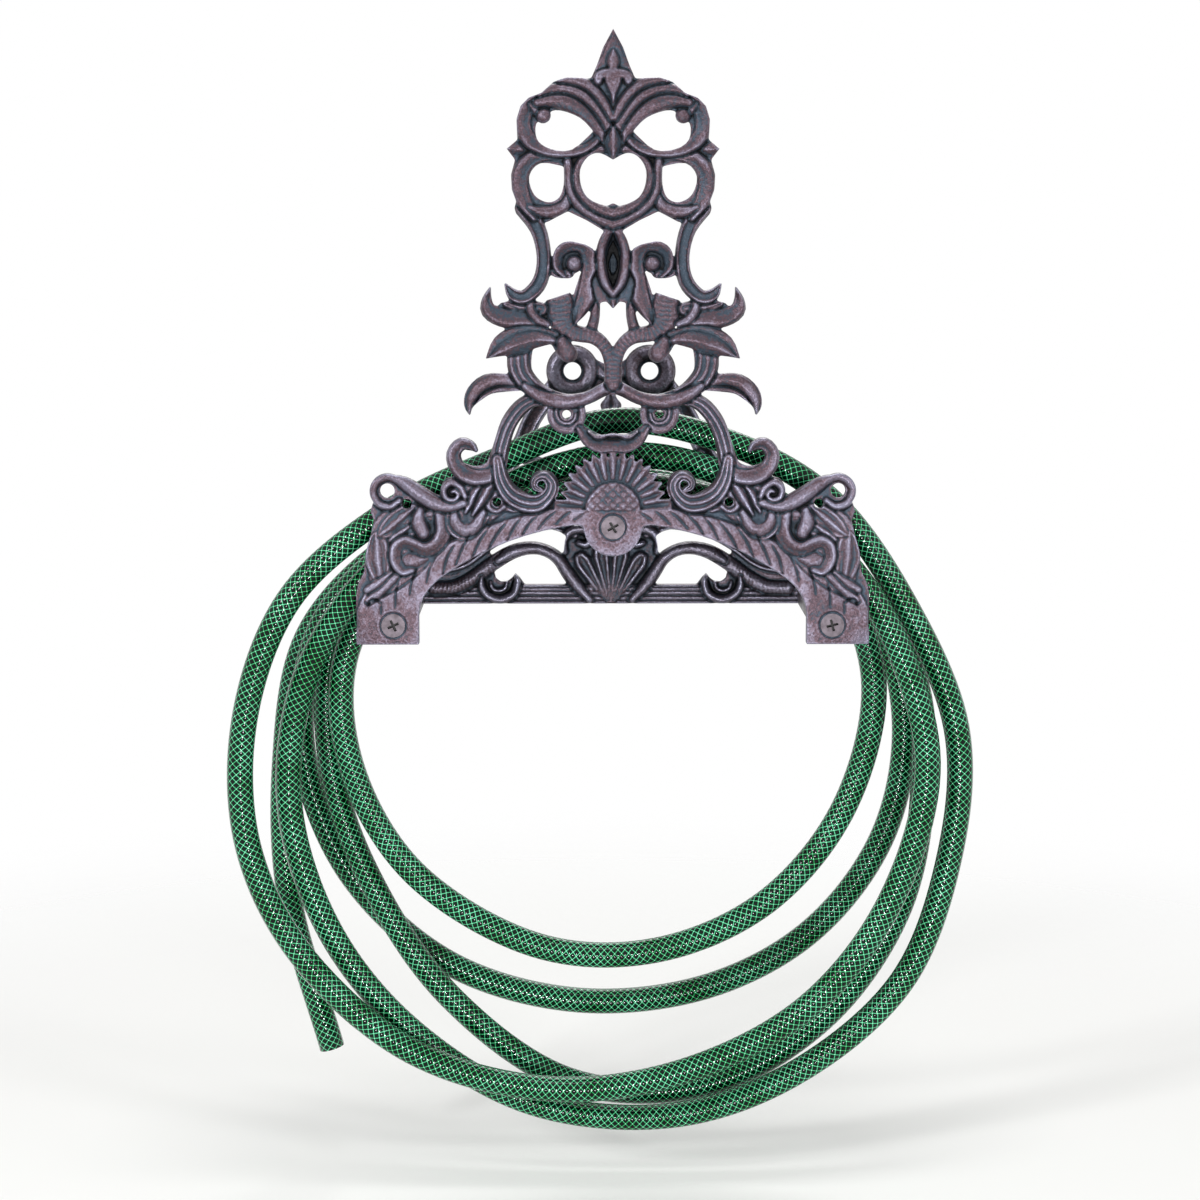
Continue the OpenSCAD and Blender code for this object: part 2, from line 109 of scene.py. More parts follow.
def valueMath(tree, operation, a, b=0.0, c=0.0):
    return addNode(tree, "ShaderNodeMath", {0: a, 1: b, 2: c}, operation=operation).outputs[0]


def rampValue(tree, value, start, end, low=0.0, high=1.0):
    return addNode(tree, "ShaderNodeMapRange", {
        "Value": value, "From Min": start, "From Max": end, "To Min": low, "To Max": high,
    }).outputs["Result"]


def objectPlace(tree):
    return addNode(tree, "ShaderNodeTexCoord").outputs["Object"]


def noise(tree, place, size, detail):
    # size: how far apart the lumps lie, in metres
    return addNode(tree, "ShaderNodeTexNoise", {
        "Vector": place, "Scale": 1 / size, "Detail": detail,
    }).outputs["Fac"]


def bumpNormal(tree, height, strength, distance):
    return addNode(tree, "ShaderNodeBump", {
        "Height": height, "Strength": strength, "Distance": distance,
    }).outputs["Normal"]


def finishMaterial(tree, surface):
    addNode(tree, "ShaderNodeOutputMaterial", {"Surface": surface})


def newObject(name, mesh):
    made = bpy.data.objects.new(name, mesh)
    scene.collection.objects.link(made)
    return made


def bakedMesh(obj):
    # the object's mesh with its modifiers applied, as new data
    graph = bpy.context.evaluated_depsgraph_get()
    return bpy.data.meshes.new_from_object(obj.evaluated_get(graph), depsgraph=graph)


def readPoints(mesh):
    points = np.empty(len(mesh.vertices) * 3)
    mesh.vertices.foreach_get("co", points)
    return points.reshape(-1, 3)


def smoothPath(points, steps):
    # a smooth curve through the points, however many numbers each one has
    given = np.array(points, float)
    padded = np.vstack([2 * given[0] - given[1], given, 2 * given[-1] - given[-2]])
    path = []
    for i in range(1, len(padded) - 2):
        a, b, c, d = padded[i - 1:i + 3]
        for t in np.arange(steps) / steps:
            path.append(0.5 * (2 * b + (c - a) * t + (2 * a - 5 * b + 4 * c - d) * t ** 2
                               + (3 * b - a - 3 * c + d) * t ** 3))
    path.append(given[-1])
    return np.array(path)


# Garden hose: one length, wound five and a half times over the saddle
hose = {
    "diameter": 0.0165,
    "wall": 0.0026,
    "boreDepth": 0.03,
    "sides": 24,
    "stepsPerPoint": 12,
    "braidStrands": 10,  # threads each way round the hose
    "braidPitch": 0.0045,  # along the hose, from thread to thread
    "threadWidth": 0.082,  # half a thread, as a share of the pitch
    "threadCore": 0.55,  # the part of it that has the thread's full colour
    "cellRise": 0.00012,  # how far the skin bulges between the threads
    "blotchSize": 0.02,
    "tubeColours": ("#000a06", "#021a10"),
    "threadColours": ("#1a9a4e", "#66dca4"),
    # painted glint colour of the thread crossings
    "knotGlintColour": "#c8fbe6",
    "roughness": 0.4,
    "skinRoughness": 0.08,
    "skinIor": 1.29,
}
hoseRoute = [
    (-0.010, -0.087, 0.032), (-0.088, -0.087, 0.020), (-0.150, -0.086, -0.020),
    (-0.194, -0.077, -0.088), (-0.205, -0.073, -0.172), (-0.180, -0.071, -0.254),
    (-0.128, -0.070, -0.320), (-0.052, -0.070, -0.367), (0.038, -0.070, -0.376),
    (0.118, -0.070, -0.348), (0.186, -0.070, -0.288), (0.216, -0.070, -0.205),
    (0.219, -0.070, -0.121), (0.184, -0.070, -0.040), (0.136, -0.069, 0.025),
    (0.072, -0.067, 0.061), (0.000, -0.066, 0.074), (-0.072, -0.074, 0.050),
    (-0.142, -0.087, 0.017), (-0.202, -0.088, -0.036), (-0.231, -0.088, -0.112),
    (-0.230, -0.088, -0.194), (-0.195, -0.088, -0.267), (-0.128, -0.088, -0.327),
    (-0.042, -0.088, -0.352), (0.045, -0.088, -0.341), (0.124, -0.088, -0.299),
    (0.177, -0.087, -0.229), (0.199, -0.086, -0.140), (0.172, -0.086, -0.052),
    (0.124, -0.084, 0.008), (0.066, -0.079, 0.043), (0.006, -0.072, 0.053),
    (-0.060, -0.069, 0.036), (-0.125, -0.070, -0.008), (-0.168, -0.067, -0.072),
    (-0.166, -0.067, -0.146), (-0.126, -0.068, -0.216), (-0.050, -0.070, -0.262),
    (0.028, -0.070, -0.266), (0.100, -0.068, -0.234), (0.150, -0.064, -0.171),
    (0.167, -0.059, -0.090), (0.136, -0.054, -0.018), (0.074, -0.053, 0.0205),
    (0.000, -0.053, 0.0325), (-0.072, -0.052, 0.0205), (-0.130, -0.052, -0.010),
    (-0.176, -0.050, -0.065), (-0.181, -0.050, -0.145), (-0.157, -0.050, -0.222),
    (-0.106, -0.050, -0.301), (-0.028, -0.051, -0.358), (0.062, -0.051, -0.361),
    (0.137, -0.047, -0.319), (0.186, -0.042, -0.250), (0.202, -0.039, -0.170),
    (0.194, -0.037, -0.088), (0.142, -0.035, -0.012), (0.075, -0.035, 0.0205),
    (0.000, -0.035, 0.0325), (-0.074, -0.0346, 0.0205), (-0.138, -0.034, -0.009),
    (-0.188, -0.034, -0.062), (-0.200, -0.034, -0.140), (-0.172, -0.031, -0.222),
    (-0.110, -0.027, -0.284), (-0.028, -0.022, -0.312), (0.058, -0.019, -0.306),
    (0.130, -0.018, -0.269), (0.178, -0.018, -0.205), (0.192, -0.018, -0.128),
    (0.172, -0.018, -0.052), (0.125, -0.017, -0.002), (0.066, -0.017, 0.024),
    (0.000, -0.017, 0.0325), (-0.074, -0.017, 0.0205), (-0.145, -0.016, -0.012),
    (-0.198, -0.016, -0.070), (-0.214, -0.016, -0.152), (-0.212, -0.017, -0.245),
    (-0.185, -0.020, -0.345),
]


def braidedVinyl(settings):
    # clear PVC skin over a green polyester braid on a dark green PVC tube: a bright diamond
    # net deep under gloss, with white glints along the top of each turn
    material, tree = newMaterial("braidedVinylHose")
    uv = addNode(tree, "ShaderNodeUVMap", uv_map="braid").outputs["UV"]
    apart = addNode(tree, "ShaderNodeSeparateXYZ", {0: uv})
    along, around = apart.outputs[0], apart.outputs[1]
    width = settings["threadWidth"]
    threads, swells = [], []
    for operation in ("ADD", "SUBTRACT"):
        phase = valueMath(tree, "FRACT", valueMath(tree, operation, along, around))
        offCentre = valueMath(tree, "ABSOLUTE", valueMath(tree, "SUBTRACT", phase, 0.5))
        threads.append(rampValue(tree, offCentre, width, width * settings["threadCore"]))
        swells.append(valueMath(tree, "SINE", valueMath(tree, "MULTIPLY", offCentre, math.pi)))
    net = valueMath(tree, "MAXIMUM", threads[0], threads[1])
    knotGlints = valueMath(tree, "MULTIPLY", threads[0], threads[1])
    swell = valueMath(tree, "MULTIPLY", swells[0], swells[1])
    blotch = noise(tree, objectPlace(tree), settings["blotchSize"], 3.0)
    dark, light = [linearColour(code) for code in settings["tubeColours"]]
    tube = colourMix(tree, rampValue(tree, blotch, 0.35, 0.65), dark, light)
    dark, light = [linearColour(code) for code in settings["threadColours"]]
    thread = colourMix(tree, rampValue(tree, blotch, 0.3, 0.7), dark, light)
    # painted highlight: the thread crossings are painted near white as glints
    thread = colourMix(tree, knotGlints, thread, linearColour(settings["knotGlintColour"]))
    quilted = bumpNormal(tree, swell, 1.0, settings["cellRise"])
    shader = addNode(tree, "ShaderNodeBsdfPrincipled", {
        "Base Color": colourMix(tree, net, tube, thread), "Roughness": settings["roughness"],
        "Specular IOR Level": 0.0, "Normal": quilted, "Coat Weight": 1.0,
        "Coat Roughness": settings["skinRoughness"], "Coat IOR": settings["skinIor"],
        "Coat Normal": quilted,
    })
    finishMaterial(tree, shader.outputs[0])
    return material


def makeHose(settings):
    path = smoothPath(hoseRoute, settings["stepsPerPoint"])
    curve = bpy.data.curves.new("hoseLine", "CURVE")
    curve.dimensions = "3D"
    curve.twist_mode = "MINIMUM"
    line = curve.splines.new("POLY")
    line.points.add(len(path) - 1)
    line.points.foreach_set("co", np.hstack([path, np.ones((len(path), 1))]).ravel())
    curve.bevel_depth = settings["diameter"] / 2
    curve.bevel_resolution = settings["sides"] // 4 - 1
    source = newObject("hoseLine", curve)
    bpy.context.view_layer.update()
    mesh = bakedMesh(source)
    bpy.data.objects.remove(source)
    mesh.name = "gardenHose"
    sides = len(mesh.vertices) // len(path)
    # the braid's own map: threads along, threads around
    steps = np.linalg.norm(np.diff(path, axis=0), axis=1)
    along = np.concatenate([[0], np.cumsum(steps)]) / settings["braidPitch"]
    layer = mesh.uv_layers.new(name="braid")
    for face in mesh.polygons:
        ids = [mesh.loops[i].vertex_index for i in face.loop_indices]
        turns = [i % sides for i in ids]
        wraps = max(turns) - min(turns) > sides / 2
        for loop, i, turn in zip(face.loop_indices, ids, turns):
            turn = turn + sides if wraps and turn < sides / 2 else turn
            layer.data[loop].uv = (along[i // sides], turn / sides * settings["braidStrands"])
    # both cut ends: a rim as thick as the wall round a short stretch of the bore
    work = bmesh.new()
    work.from_mesh(mesh)
    for border in (0, len(path) - 1):
        onPath = [v.index for v in work.verts if v.index < sides * len(path)]
        rim = {i for i in onPath if i // sides == border}
        edges = [e for e in work.edges if e.is_boundary and all(v.index in rim for v in e.verts)]
        cap = bmesh.ops.contextual_create(work, geom=edges)["faces"]
        bmesh.ops.inset_region(work, faces=cap, thickness=settings["wall"], use_even_offset=True)
        inward = path[1] - path[0] if border == 0 else path[-2] - path[-1]
        inward = Vector(inward / np.linalg.norm(inward)) * settings["boreDepth"]
        bore = bmesh.ops.extrude_discrete_faces(work, faces=cap)["faces"]
        bmesh.ops.translate(work, verts=list({v for f in bore for v in f.verts}), vec=inward)
    bmesh.ops.recalc_face_normals(work, faces=work.faces)
    work.to_mesh(mesh)
    work.free()
    mesh.shade_smooth()
    made = newObject("gardenHose", mesh)
    made.data.materials.append(braidedVinyl(settings))
    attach(made, "root")
    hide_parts("garden_hose")


makeHose(hose)


# Castings. Each plate starts as a copy of its CAD node, is remeshed into an even skin, and
# its front is then carved: strokes are laid over each other in order, on one half, and the
# other half mirrors them. A stroke is (section, lowest, highest, [(x, z, width), ...]), in
# millimetres: x out from the middle, z up from the feet, height above the plate's back. One
# whose section starts with + grows out of what lies under it, with no groove round it.
# A section gives the height across a stroke, from 0 to 1: u is the distance from the middle
# in half widths, side the same with its sign, along the run and inset the distance from the
# edge, both in millimetres.
def crossRound(u, side, along, inset):
    return np.sqrt(np.clip(1 - u ** 2, 0, 1))


def crossRidge(u, side, along, inset):
    return np.clip(1 - u, 0, 1) ** 0.75


def crossSlab(u, side, along, inset):
    return np.clip(inset / 1.2, 0, 1) ** 0.5


def crossPillow(u, side, along, inset):
    return np.clip(inset / 3.0, 0, 1) ** 0.5


def crossCup(u, side, along, inset):
    return np.clip(u ** 1.5, 0, 1)


def crossChannel(u, side, along, inset):
    rims = np.exp(-((u - 0.68) / 0.2) ** 2)
    return np.clip((0.55 + 0.45 * rims) * (1 - u ** 10), 0, 1)


def crossSpoon(u, side, along, inset):
    # crest to the left of the stroke's run, a hollow to the right of it
    crest = 0.42
    over = np.clip((side - crest) / (1 - crest), 0, 1)
    under = np.clip((crest - side) / 0.95, 0, 1)
    hollow = (1 - 0.5 * under ** 1.5) * (1 - u ** 12)
    return np.clip(np.where(side > crest, 1 - over ** 2, hollow), 0, 1)


def crossSpoonRight(u, side, along, inset):
    return crossSpoon(u, -side, along, inset)


def crossTwin(u, side, along, inset):
    return np.clip((0.78 - 0.22 * np.cos(2 * np.pi * side)) * (1 - u ** 6), 0, 1)


def crossReed(u, side, along, inset):
    return np.clip((0.78 + 0.22 * np.cos(3 * np.pi * side)) * (1 - u ** 6), 0, 1)


def crossFold(u, side, along, inset):
    return np.clip((0.66 + 0.3 * np.cos(2 * np.pi * side)) * (1 - u ** 10), 0, 1)


ribPitch, ropePitch, ropeSlant = 2.8, 2.6, 0.6  # the slant is in turns per half width


def crossRibbed(u, side, along, inset):
    ribs = 0.5 + 0.5 * np.cos(2 * np.pi * along / ribPitch)
    return np.clip((0.84 + 0.16 * ribs) * np.clip(1 - u ** 3, 0, 1) ** 0.5, 0, 1)


def crossRope(u, side, along, inset):
    lay = 0.5 + 0.5 * np.cos(2 * np.pi * (along / ropePitch + side * ropeSlant))
    return np.clip(np.sqrt(np.clip(1 - u ** 2, 0, 1)) * (0.84 + 0.16 * lay), 0, 1)


crossSections = {
    "round": crossRound, "ridge": crossRidge, "slab": crossSlab, "pillow": crossPillow,
    "cup": crossCup, "channel": crossChannel, "spoon": crossSpoon,
    "spoonRight": crossSpoonRight, "twin": crossTwin, "reed": crossReed, "fold": crossFold,
    "ribbed": crossRibbed, "rope": crossRope,
}
grooveWidth, grooveDepth = 0.9, 1.5  # cut round each stroke, in what lies under it
leastHeight = 2.6  # no groove goes nearer to the plate's back
leastWidth, leastSearch = 0.4, 0.5  # of a stroke, and of the strip in which it is looked for
offStroke = 9.0  # the reach of a place that no stroke comes near
shortest = 1e-6  # steps of a path below this are passed over


def strokeReach(places, points, steps=5):
    # for each place: distance from the stroke's middle in half widths, which side it is on,
    # how far along, and the half width there
    path = smoothPath(points, steps)
    reach = np.full(len(places), offStroke)
    side = np.zeros(len(places))
    along = np.zeros(len(places))
    halves = np.ones(len(places))
    run = 0.0
    for a, b in zip(path[:-1], path[1:]):
        step = b[:2] - a[:2]
        length = math.hypot(*step)
        if length < shortest:
            continue
        room = max(a[2], b[2], leastSearch) / 2 + grooveWidth
        low, high = np.minimum(a[:2], b[:2]) - room, np.maximum(a[:2], b[:2]) + room
        near = np.nonzero(((places > low) & (places < high)).all(axis=1))[0]
        if len(near):
            off = places[near] - a[:2]
            t = np.clip(off @ step / length ** 2, 0, 1)
            gap = off - t[:, None] * step
            half = np.maximum(a[2] + (b[2] - a[2]) * t, leastWidth) / 2
            u = np.hypot(gap[:, 0], gap[:, 1]) / half
            better = u < reach[near]
            chosen = near[better]
            reach[chosen] = u[better]
            across = step[0] * gap[:, 1] - step[1] * gap[:, 0]
            side[chosen] = (np.sign(across) * u)[better]
            along[chosen] = run + (t * length)[better]
            halves[chosen] = half[better]
        run += length
    return reach, side, along, halves


def carve(places, ground, strokes, gashes):
    # heights above the back, in millimetres, for places given as (x, z)
    folded = np.abs(places * [1, 0]) + places * [0, 1]
    height = np.zeros(len(places)) + ground
    for section, low, high, points in strokes:
        u, side, along, half = strokeReach(folded, points)
        beyond = (u - 1) * half / grooveWidth
        on = u < 1
        inset = (1 - u[on]) * half[on]
        profile = crossSections[section.strip("+")]
        raised = low + (high - low) * profile(u[on], side[on], along[on], inset)
        if section[0] == "+":
            height[on] = np.maximum(height[on], raised)
            continue
        edge = (beyond >= 0) & (beyond < 1)
        room = np.clip(height[edge] - max(low, leastHeight), 0, grooveDepth)
        height[edge] -= room * (1 - beyond[edge])
        height[on] = raised
    for depth, points in gashes:
        u = strokeReach(folded, points)[0]
        on = u < 1
        height[on] -= depth * (1 - u[on] ** 2)
    return height


def neighbourMean(values, edges, count, rounds):
    # the values, blurred over the mesh
    degree = np.bincount(edges.ravel(), minlength=count).clip(1)
    for _ in range(rounds):
        total = np.bincount(edges[:, 0], values[edges[:, 1]], count)
        total += np.bincount(edges[:, 1], values[edges[:, 0]], count)
        values = 0.5 * values + 0.5 * total / degree
    return values


def castPlate(name, node, settings, heights):
    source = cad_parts[node]
    copy = newObject(name, source.data.copy())
    work = bmesh.new()
    work.from_mesh(copy.data)
    bmesh.ops.remove_doubles(work, verts=work.verts, dist=settings["weld"])
    work.to_mesh(copy.data)
    work.free()
    skin = copy.modifiers.new("skin", "REMESH")
    skin.mode = "VOXEL"
    skin.voxel_size = settings["voxel"]
    bpy.context.view_layer.update()
    mesh = bakedMesh(copy)
    copy.modifiers.clear()
    copy.data = mesh
    points = readPoints(mesh)
    back = settings["back"]
    depth = (back - points[:, 1]) / mm
    places = points[:, [0, 2]] / mm - [0, settings["foot"]]
    carved = heights(places)
    for x, z in settings["screws"]:
        # flush with the screw, but for a thin gap round its head
        reach = np.hypot(np.abs(places[:, 0]) - x, places[:, 1] - z)
        flush = np.clip((settings["flushRadius"] - reach) / settings["flushFade"] + 0.5, 0, 1)
        gap = np.clip(1 - np.abs(reach - settings["gapRadius"]) / settings["gapWidth"], 0, 1)
        hub = settings["thickness"] - settings["gapDepth"] * gap
        carved = carved * (1 - flush) + hub * flush
    # what is higher than the ledge takes the carved height, and the sides below it stretch
    ledge = settings["ledge"]
    sides = np.where(depth > 0, depth * carved / ledge, depth)
    points[:, 1] = back - np.where(depth > ledge, carved, sides) * mm
    mesh.vertices.foreach_set("co", points.ravel())
    work = bmesh.new()
    work.from_mesh(mesh)
    for _ in range(settings["smoothing"]):
        bmesh.ops.smooth_vert(work, verts=work.verts, factor=0.5,
                              use_axis_x=True, use_axis_y=True, use_axis_z=True)
    work.to_mesh(mesh)
    work.free()
    # how far each point stands over its surroundings, which is where the patina is rubbed; the
    # same value paints shade dark into the creases and highlight pale onto the high points
    edges = np.empty(len(mesh.edges) * 2, int)
    mesh.edges.foreach_get("vertices", edges)
    edges = edges.reshape(-1, 2)
    stand = (back - readPoints(mesh)[:, 1]) / mm
    fine = stand - neighbourMean(stand, edges, len(stand), settings["fineRounds"])
    broad = stand - neighbourMean(stand, edges, len(stand), settings["broadRounds"])
    # wear on the high points, painted shade in the creases and painted highlight on the rims
    wearAndShade = np.clip(0.5 + settings["fineGain"] * fine + settings["broadGain"] * broad, 0, 1)
    # painted shade: the sides of the openings, near the plate's back, are painted black
    wearAndShade *= np.clip((stand - settings["shadedSide"]) / settings["sideFade"], 0, 1)
    # painted shade: towards the crown the colour is painted darker than at the foot
    above = np.clip((places[:, 1] - settings["topShadeFrom"]) / settings["topShadeFade"], 0, 1)
    wearAndShade *= 1 - settings["topShade"] * above
    wearAndShade[stand < settings["backFace"]] = settings["backWear"]
    attribute = mesh.attributes.new("wearAndShade", "FLOAT", "POINT")
    attribute.data.foreach_set("value", wearAndShade.astype(np.float32))
    thin = copy.modifiers.new("thin", "DECIMATE")
    thin.ratio = min(1.0, settings["triangles"] / (2 * len(mesh.polygons)))
    bpy.context.view_layer.update()
    final = bakedMesh(copy)
    copy.modifiers.clear()
    copy.data = final
    final.name = name
    final.shade_smooth()
    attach(copy, "root")
    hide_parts(node)
    print(name, "cast,", len(final.polygons), "faces")
    return copy


patina = {
    "cloudSize": 0.025, "speckSize": 0.003, "gritSize": 0.0013,  # in metres
    "cloudShare": 0.6, "speckShare": 0.3, "gritShare": 0.45,  # how much each adds to the wear and painted shade
    # the value of wear and painted shade at which each colour begins and is full, and at which the
    # metal is smoothest
    "slateAt": (0.02, 0.3), "mauveAt": (0.32, 0.5), "rubbedAt": (0.48, 1.0),
    "smoothAt": (0.2, 0.9),
    "sandShare": 1.5, "sandStrength": 0.8, "sandRise": 0.0004,
}


def antiqueBronze(name, settings):
    # sand-cast iron under an antique bronze patina, rubbed back: near black in the creases, which
    # is painted shade, slate blue in the hollows, mauve brown on the slopes and paler on the high
    # points, which is rubbed patina and partly painted highlight, satin
    material, tree = newMaterial(name)
    place = objectPlace(tree)
    wearAndShade = addNode(tree, "ShaderNodeAttribute", attribute_name="wearAndShade").outputs["Fac"]
    cloud = noise(tree, place, patina["cloudSize"], 4.0)
    speck = noise(tree, place, patina["speckSize"], 4.0)
    grit = noise(tree, place, patina["gritSize"], 2.0)
    ragged = wearAndShade
    for pattern, share in ((cloud, "cloudShare"), (speck, "speckShare"), (grit, "gritShare")):
        offMiddle = valueMath(tree, "SUBTRACT", pattern, 0.5)
        ragged = valueMath(tree, "MULTIPLY_ADD", offMiddle, patina[share], ragged)
    # painted shade: the crease colour goes into the creases and the sides of the openings; the
    # rubbed colour on the high points is partly painted highlight
    colour = colourMix(tree, rampValue(tree, wearAndShade, *patina["slateAt"]),
                       linearColour(settings["creaseShade"]), linearColour(settings["slate"]))
    colour = colourMix(tree, rampValue(tree, ragged, *patina["mauveAt"]), colour,
                       linearColour(settings["mauve"]))
    colour = colourMix(tree, rampValue(tree, ragged, *patina["rubbedAt"]), colour,
                       linearColour(settings["rubbedAndHighlight"]))
    rough = rampValue(tree, ragged, *patina["smoothAt"],
                      settings["roughHollow"], settings["roughHigh"])
    sand = valueMath(tree, "ADD", grit, valueMath(tree, "MULTIPLY", speck, patina["sandShare"]))
    shader = addNode(tree, "ShaderNodeBsdfPrincipled", {
        "Base Color": colour, "Metallic": settings["metallic"], "Roughness": rough,
        "Normal": bumpNormal(tree, sand, patina["sandStrength"], patina["sandRise"]),
        "Specular IOR Level": settings["specular"],
    })
    finishMaterial(tree, shader.outputs[0])
    return material


# the crease colour is painted shade, and the rubbed colour is partly painted highlight
bronze = {
    "creaseShade": "#030305", "slate": "#38434f", "mauve": "#4e3b41", "rubbedAndHighlight": "#868599",
    "roughHollow": 0.46, "roughHigh": 0.33, "metallic": 0.62, "specular": 0.3,
}
# here too the crease colour is painted shade, and the rubbed colour is partly painted highlight
darkBronze = {
    "creaseShade": "#020203", "slate": "#2d353f", "mauve": "#3d2f34", "rubbedAndHighlight": "#838294",
    "roughHollow": 0.42, "roughHigh": 0.28, "metallic": 0.62, "specular": 0.3,
}

frontPlate = {
    "weld": 1e-5, "voxel": 0.0007, "back": -0.097,  # in metres, and the rest in millimetres
    "thickness": 8.0, "foot": -62.0, "ledge": 4.6, "smoothing": 2,
    "screws": [(136, 12), (0, 73)], "flushRadius": 9.6, "flushFade": 2.0,
    "gapRadius": 7.9, "gapWidth": 0.9, "gapDepth": 1.6,
    "fineRounds": 6, "fineGain": 0.55, "broadRounds": 60, "broadGain": 0.16,
    "shadedSide": 2.6, "sideFade": 1.6,  # up to here the sides of the openings are painted black as shade
    "topShade": 0.2, "topShadeFrom": 110, "topShadeFade": 60,  # the crown is painted darker than the foot, as shade
    "backFace": 0.4, "backWear": 0.5,
    "triangles": 190000,
}
frontGround = 5.0  # height of the plate where no stroke lies
archBand = [
    ("slab", 5.0, 7.6, [(0, 80, 12), (30, 78.5, 14), (60, 72, 14.5), (80, 64.5, 15.5),
                        (100, 54.5, 18), (118, 42, 24), (130, 26, 36), (137, 4, 46)]),
    ("+slab", 7.0, 7.6, [(139, -2, 39), (139, 18, 39)]),
    ("+slab", 7.0, 7.6, [(0, 70, 38), (0, 73, 38)]),
]
shoulders = [
    # raised ground that the forms lie on
    ("slab", 4.6, 6.8, [(98, 82, 14), (108, 74, 22), (122, 62, 28), (136, 48, 26), (147, 33, 10)]),
    ("slab", 4.6, 6.8, [(128, 84, 10), (138, 74, 18), (144, 60, 16), (146, 42, 10)]),
    ("slab", 4.6, 6.6, [(66, 90, 12), (78, 84, 16), (90, 78, 18), (100, 74, 14)]),
    # leaf on the outer edge, and the folds that run down to the foot
    ("fold", 5.6, 8.6, [(146, 70, 2), (145.5, 63, 12), (145.3, 54, 16), (144, 45, 12),
                        (143, 37, 4)]),
    ("round", 4.5, 7.8, [(130, 46, 3), (138, 39, 7), (146, 31.5, 7), (151, 27.5, 5)]),
    ("round", 4.5, 7.8, [(137, 45, 2), (145, 38.5, 6), (152, 34, 5)]),
    # folded leaf under the ear, with two narrow folds
    ("fold", 5.6, 8.8, [(123, 85, 5), (130, 79.5, 13), (137.5, 73, 12), (144, 68, 3)]),
    ("round", 4.5, 8.0, [(126, 73.5, 3), (131.5, 69.5, 4.5), (137.5, 65, 2.5)]),
    ("round", 4.5, 7.6, [(123.5, 69, 3), (129, 66, 3.5), (136, 61.5, 2)]),
    # curled ribbon round a lobe, with a knob above it
    ("pillow", 5.4, 7.8, [(113, 57, 5), (119, 54, 9), (125, 52, 11), (129, 50, 8)]),
    ("cup", 4.6, 6.6, [(112.5, 74.5, 9), (113, 73, 9)]),
    ("spoon", 5.0, 9.2, [(107.5, 85, 6), (105.5, 78, 9.5), (105, 70, 10.5), (109, 62.5, 10.5),
                         (116, 59.6, 10), (123, 62.6, 9), (129, 64.3, 8.5), (134, 60.5, 8.5),
                         (134.6, 52.5, 8), (130, 46, 7), (124, 46.5, 4)]),
    ("pillow", 5.0, 9.2, [(119, 83, 6), (120, 76.5, 10), (117, 69.5, 9)]),
    # curled lobe with its rim, and the two blades that end in it
    ("round", 4.5, 8.0, [(101.5, 82, 2.5), (101, 72.5, 3), (96, 67.5, 3.4), (89, 67, 3.4),
                         (82.5, 71.5, 3.2), (77, 79.5, 2.5)]),
    ("round", 4.5, 8.8, [(98, 83, 4), (97, 76, 9), (91, 71.5, 10), (84.5, 74.5, 9), (80, 82, 5)]),
    ("cup", 5.0, 6.6, [(89.5, 83, 7), (90, 79.5, 8)]),
    ("+slab", 6.0, 7.2, [(60, 88, 12), (72, 92, 14), (84, 96, 12), (92, 97, 8)]),
    ("round", 4.5, 8.2, [(71.5, 94, 4.6), (76.5, 91, 4.4), (76.5, 85.5, 4), (71.5, 83, 3.6),
                         (66.8, 86, 3.4)]),
    ("ridge", 4.5, 8.8, [(80, 101, 4), (86, 92, 8), (91, 82, 2)]),
    ("ridge", 4.5, 9.0, [(72.5, 105, 4), (79, 93, 8.5), (86.5, 80.5, 2)]),
    # ear arm with its ring, and the small curl over it
    ("round", 4.5, 8.8, [(92, 88, 6), (100, 86, 8), (108, 87, 9), (117, 92, 9.5), (125, 98, 9),
                         (132, 103, 8), (139, 104.8, 7), (145.5, 101.5, 6.5), (148, 95, 6),
                         (144.5, 88, 5.5), (137.5, 85.8, 5), (131.5, 89.5, 4)]),
    ("round", 4.5, 8.6, [(91, 92, 4), (94, 98, 5), (99.5, 100.8, 5), (104, 97, 4.5),
                         (103, 91.5, 4), (98.5, 89.8, 3.5), (95.2, 92.5, 3), (97, 95.5, 3),
                         (99, 95, 2.5)]),
]
lowerStems = [
    ("reed", 4.5, 8.6, [(41, 151.5, 8), (50, 151, 9), (58, 145.5, 10), (65, 135, 10.5),
                        (69, 123, 10.5), (71, 112, 10)]),
    ("spoonRight", 4.5, 9.0, [(70, 112, 6), (74, 105.5, 9), (82, 103.5, 10.5), (90, 105, 11),
                              (96.3, 110.5, 10), (98.3, 118.5, 9), (93.5, 124.7, 8.5),
                              (87.5, 124, 6.5), (84, 120.5, 3)]),
    ("reed", 4.5, 9.0, [(71, 115, 7), (69, 103, 10), (64, 94, 12), (56, 89, 13.5), (47, 88, 13),
                        (40.5, 92.5, 10), (38, 99, 8.5), (42, 104.5, 7), (47.5, 102.5, 5.5),
                        (48, 98, 4.5), (44.8, 96.3, 3.5)]),
]
